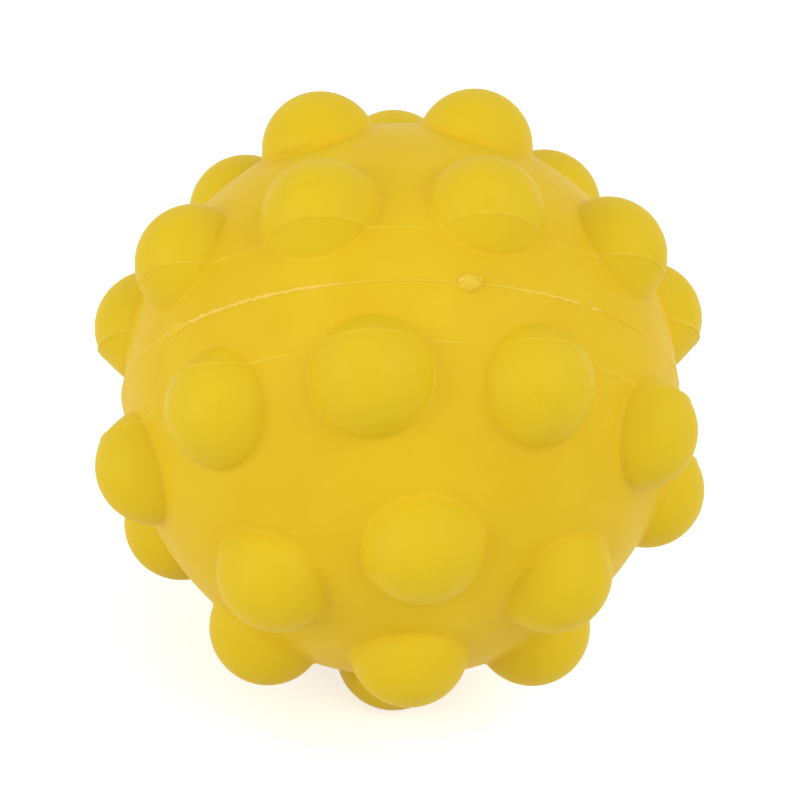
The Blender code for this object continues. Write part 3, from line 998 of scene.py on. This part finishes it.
def seam_glue_tree():
    """Glue along a route: a line that swells, thins and wanders as its points say, and crumbs beside it."""
    kinds = {"Seam up": "Vector", **dict.fromkeys(glue_sizes, "Float"), "Seed": "Int", "Material": "Material"}
    tree, given, result = new_tree("Seam glue", kinds)

    def add(kind, inputs=(), **settings):
        return add_node(tree, kind, inputs, **settings)

    def named(name):
        node = add("GeometryNodeInputNamedAttribute", {"Name": name}, data_type="FLOAT")
        return Rule(tree, node.outputs[0])

    def lumps(place, seed_step, detail):
        per_metre = given["Lump spacing"].math("POWER", -1.0)
        return wavy(tree, place, given["Seed"] + seed_step, per_metre, detail) - 0.5

    def random_number(seed_step, low=0.0, high=1.0):
        inputs = {2: low, 3: high, "Seed": given["Seed"] + seed_step}
        return Rule(tree, add("FunctionNodeRandomValue", inputs, data_type="FLOAT").outputs[1])

    def total(first, second):
        return add("ShaderNodeVectorMath", {0: first, 1: second}, operation="ADD").outputs["Vector"]

    def along_route(value, kind="FLOAT"):
        inputs = {"Geometry": given["Geometry"], "Value": value, "Index": column}
        return add("GeometryNodeSampleIndex", inputs, data_type=kind, domain="POINT").outputs["Value"]

    grid, x, y = flat_grid(tree, GLUE_STEPS, GLUE_SECTION)
    column = ((x + 0.5) * GLUE_STEPS).math("ROUND").math("MODULO", float(GLUE_STEPS))
    phase = (y * -1.0 + 0.5) * (2 * pi)
    middle = along_route(position(tree), "FLOAT_VECTOR")
    outward = add("ShaderNodeVectorMath", {0: middle}, operation="NORMALIZE").outputs["Vector"]
    height, half_width, paleness, ragged = (Rule(tree, along_route(named(name))) for name in GLUE_COLUMNS)
    tall = height * MM * (lumps(middle, seed_step=0, detail=2.0) * ragged * GLUE_HEIGHT_LUMPS + 1.0)
    wide = half_width * MM * (lumps(middle, seed_step=9, detail=2.0) * ragged * GLUE_WIDTH_LUMPS + 1.0)
    top = phase.sin().math("MAXIMUM", 0.0)
    bottom = phase.sin().math("MINIMUM", 0.0)
    out = tall * top * top + given["Depth"] * bottom
    over = wide * phase.cos() + lumps(middle, seed_step=5, detail=1.0) * ragged * GLUE_WANDER
    place = total(middle, total(scaled(tree, outward, out), scaled(tree, given["Seam up"], over)))

    # What each column is like is stored before the grid is bent, while its places still count the columns
    marked = stored(tree, stored(tree, grid, "paleness", paleness), "raggedness", ragged)
    line = bent_and_welded(tree, marked, place)

    # Crumbs lie beside the line where it is ragged
    wanted = (named("raggedness") - CRUMB_RAGGEDNESS) * given["Crumb share"]
    aside = scaled(tree, given["Seam up"], random_number(1.0, -CRUMB_SPREAD, CRUMB_SPREAD))
    strewn = add("GeometryNodeSetPosition", {"Geometry": given["Geometry"], "Offset": aside})
    ball = add("GeometryNodeMeshIcoSphere", {"Radius": 1.0, "Subdivisions": 3})
    turns = {1: CRUMB_TURNS, "Seed": given["Seed"] + 3.0}
    crumbs = add(
        "GeometryNodeInstanceOnPoints",
        {
            "Points": strewn.outputs[0],
            "Selection": wanted.math("GREATER_THAN", random_number(0.0)),
            "Instance": ball.outputs["Mesh"],
            "Rotation": add("FunctionNodeRandomValue", turns, data_type="FLOAT_VECTOR").outputs[0],
            "Scale": scaled(tree, CRUMB_SHAPE, random_number(2.0, CRUMB_SMALLEST, 1.0) * given["Crumb size"]),
        },
    )
    loose = add("GeometryNodeRealizeInstances", {"Geometry": crumbs.outputs[0]})
    joined = add("GeometryNodeJoinGeometry")
    tree.links.new(line.outputs[0], joined.inputs[0])
    tree.links.new(loose.outputs[0], joined.inputs[0])
    rough = lumps(position(tree), seed_step=20, detail=2.0) * named("raggedness") * GLUE_ROUGH_SURFACE
    push = {"Geometry": joined.outputs[0], "Offset": scaled(tree, normal(tree), rough)}
    end_tree(tree, add("GeometryNodeSetPosition", push), given, result)
    return tree


def glue_drop_tree():
    """One drop of glue, flat underneath and a little uneven: +X along the seam, +Z out of the skin."""
    kinds = {**dict.fromkeys(DROP_COLUMNS, "Float"), "Seed": "Float", "Material": "Material"}
    tree, given, result = new_tree("Glue drop", kinds)
    ball = add_node(tree, "GeometryNodeMeshIcoSphere", {"Radius": 1.0, "Subdivisions": 5})
    here = position(tree)
    swell = (wavy(tree, here, given["Seed"], DROP_WAVES, 2.0) - 0.5) * DROP_UNEVENNESS + 1.0
    along, aside, out = by_axis(tree, scaled(tree, here, swell))
    raised = out.math("MAXIMUM", 0.0)
    above = raised * raised + out.math("MINIMUM", 0.0) * DROP_FOOT
    half_length, half_width = given["Length"] * (MM / 2), given["Width"] * (MM / 2)
    sizes = {"X": along * half_length, "Y": aside * half_width, "Z": above * given["Height"] * MM}
    place = add_node(tree, "ShaderNodeCombineXYZ", sizes)
    # Paler towards the top: partly thicker glue, partly a painted highlight
    cloudy = given["Paleness"] * (by_axis(tree, here)[2] * DROP_PALING).within(*DROP_PALENESS)
    marked = stored(tree, ball, "paleness", cloudy)
    laid = {"Geometry": marked.outputs[0], "Position": place.outputs[0]}
    end_tree(tree, add_node(tree, "GeometryNodeSetPosition", laid), given, result)
    return tree


values = {**glue_sizes, "Seam up": seam_up, "Seed": GLUE_SEED, "Material": glue}
line_mesh = grown_mesh("seam_glue_line", seam_glue_tree(), values, seam_route())

drop_form = glue_drop_tree()
bm = bmesh.new()
for number, (turn, above, *sizes) in enumerate(GLUE_DROPS):
    values = {**dict(zip(DROP_COLUMNS, sizes)), "Seed": float(number), "Material": glue}
    drop = grown_mesh("glue_drop", drop_form, values)
    place, outward = seam_point(turn, above * MM)
    along = seam_up.cross(outward)
    drop.transform(Matrix.Translation(place) @ Matrix((along, seam_up, outward)).transposed().to_4x4())
    bm.from_mesh(drop)
    bpy.data.meshes.remove(drop)
drops_mesh = bpy.data.meshes.new("seam_glue_drops")
bm.to_mesh(drops_mesh)
bm.free()
drops_mesh.materials.append(glue)

for mesh in (line_mesh, drops_mesh):
    shade_smooth(mesh)
    piece = add_object(mesh.name, mesh)
    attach(piece, "ball_shell")
    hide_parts("seam_bead")


# Floor, lights and camera
# The ball lies on a plain white studio floor, in even white light with a large soft lamp on either side.
# The camera looks down at it from in front, turned a little about its own line of sight.

FLOOR_HALF_SIZE = 3.0
FLOOR_PAINT = (0.8, 0.8, 0.8, 1.0)
FLOOR_GLOW = 0.6
STUDIO_LIGHT = 0.74
STUDIO_WHITE = (1.0, 1.0, 1.0, 1.0)
CAMERA_DISTANCE = 0.3906
CAMERA_ELEVATION = radians(31.94)
CAMERA_ROLL = radians(10.041)
CAMERA_LENS = 161.02
CAMERA_SENSOR = 36.0
CAMERA_SHIFT = (-0.00158, -0.00029)
CAMERA_CLIP = (0.01, 20.0)


def background_rays(tree):
    """1 for the rays that show the white background, and 0 for those that only light the ball."""
    rays = add_node(tree, "ShaderNodeLightPath")
    seen = rays.outputs["Is Camera Ray"]
    for ray in ("Is Glossy Ray", "Is Transmission Ray"):
        either = add_node(tree, "ShaderNodeMath", {0: seen, 1: rays.outputs[ray]}, operation="MAXIMUM")
        seen = either.outputs[0]
    return seen


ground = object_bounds()[0][2]
corners = [
    (-FLOOR_HALF_SIZE, -FLOOR_HALF_SIZE, ground),
    (FLOOR_HALF_SIZE, -FLOOR_HALF_SIZE, ground),
    (FLOOR_HALF_SIZE, FLOOR_HALF_SIZE, ground),
    (-FLOOR_HALF_SIZE, FLOOR_HALF_SIZE, ground),
]
mesh = bpy.data.meshes.new("studio_floor")
mesh.from_pydata(corners, [], [(0, 1, 2, 3)])
floor = add_object("studio_floor", mesh)

white, tree, _ = new_material("White studio floor")
tree.nodes.clear()
paint = add_node(tree, "ShaderNodeBsdfDiffuse", {"Color": FLOOR_PAINT})
lit = add_node(tree, "ShaderNodeMath", {0: background_rays(tree), 1: FLOOR_GLOW}, operation="MULTIPLY")
glow = add_node(tree, "ShaderNodeEmission", {"Strength": lit.outputs[0]})
both = add_node(tree, "ShaderNodeAddShader", {0: paint.outputs[0], 1: glow.outputs[0]})
add_node(tree, "ShaderNodeOutputMaterial", {"Surface": both.outputs[0]})
floor.data.materials.append(white)

world = bpy.data.worlds.new("White studio")
world.use_nodes = True
tree = world.node_tree
backdrop = tree.nodes["Background"]
backdrop.inputs["Color"].default_value = STUDIO_WHITE
limits = {"Value": background_rays(tree), "To Min": STUDIO_LIGHT, "To Max": 1.0}
brightness = add_node(tree, "ShaderNodeMapRange", limits)
tree.links.new(brightness.outputs["Result"], backdrop.inputs["Strength"])
bpy.context.scene.world = world
bpy.context.scene.view_settings.view_transform = "Standard"

camera_data = bpy.data.cameras.new("Camera")
camera_data.lens = CAMERA_LENS
camera_data.sensor_width = CAMERA_SENSOR
camera_data.shift_x, camera_data.shift_y = CAMERA_SHIFT
camera_data.clip_start, camera_data.clip_end = CAMERA_CLIP
camera = add_object("Camera", camera_data)
view_turn = Matrix.Rotation(pi / 2 - CAMERA_ELEVATION, 4, "X") @ Matrix.Rotation(CAMERA_ROLL, 4, "Z")
camera.matrix_world = view_turn @ Matrix.Translation((0.0, 0.0, CAMERA_DISTANCE))
bpy.context.scene.camera = camera


def add_lamp(name, side, above, towards_viewer, size, power):
    """A square soft lamp, placed by the camera's own right, up and back, and aimed at the ball."""
    lamp_data = bpy.data.lights.new(name, "AREA")
    lamp_data.shape = "SQUARE"
    lamp_data.size = size
    lamp_data.energy = power
    place = view_turn.to_3x3() @ Vector((side, above, towards_viewer))
    aim = place.to_track_quat("Z", "Y").to_matrix().to_4x4()
    add_object(name, lamp_data).matrix_world = Matrix.Translation(place) @ aim


add_lamp("Left lamp", side=-0.9, above=0.1, towards_viewer=0.6, size=0.6, power=3.0)
add_lamp("Right lamp", side=0.8, above=0.45, towards_viewer=0.8, size=0.8, power=3.9)
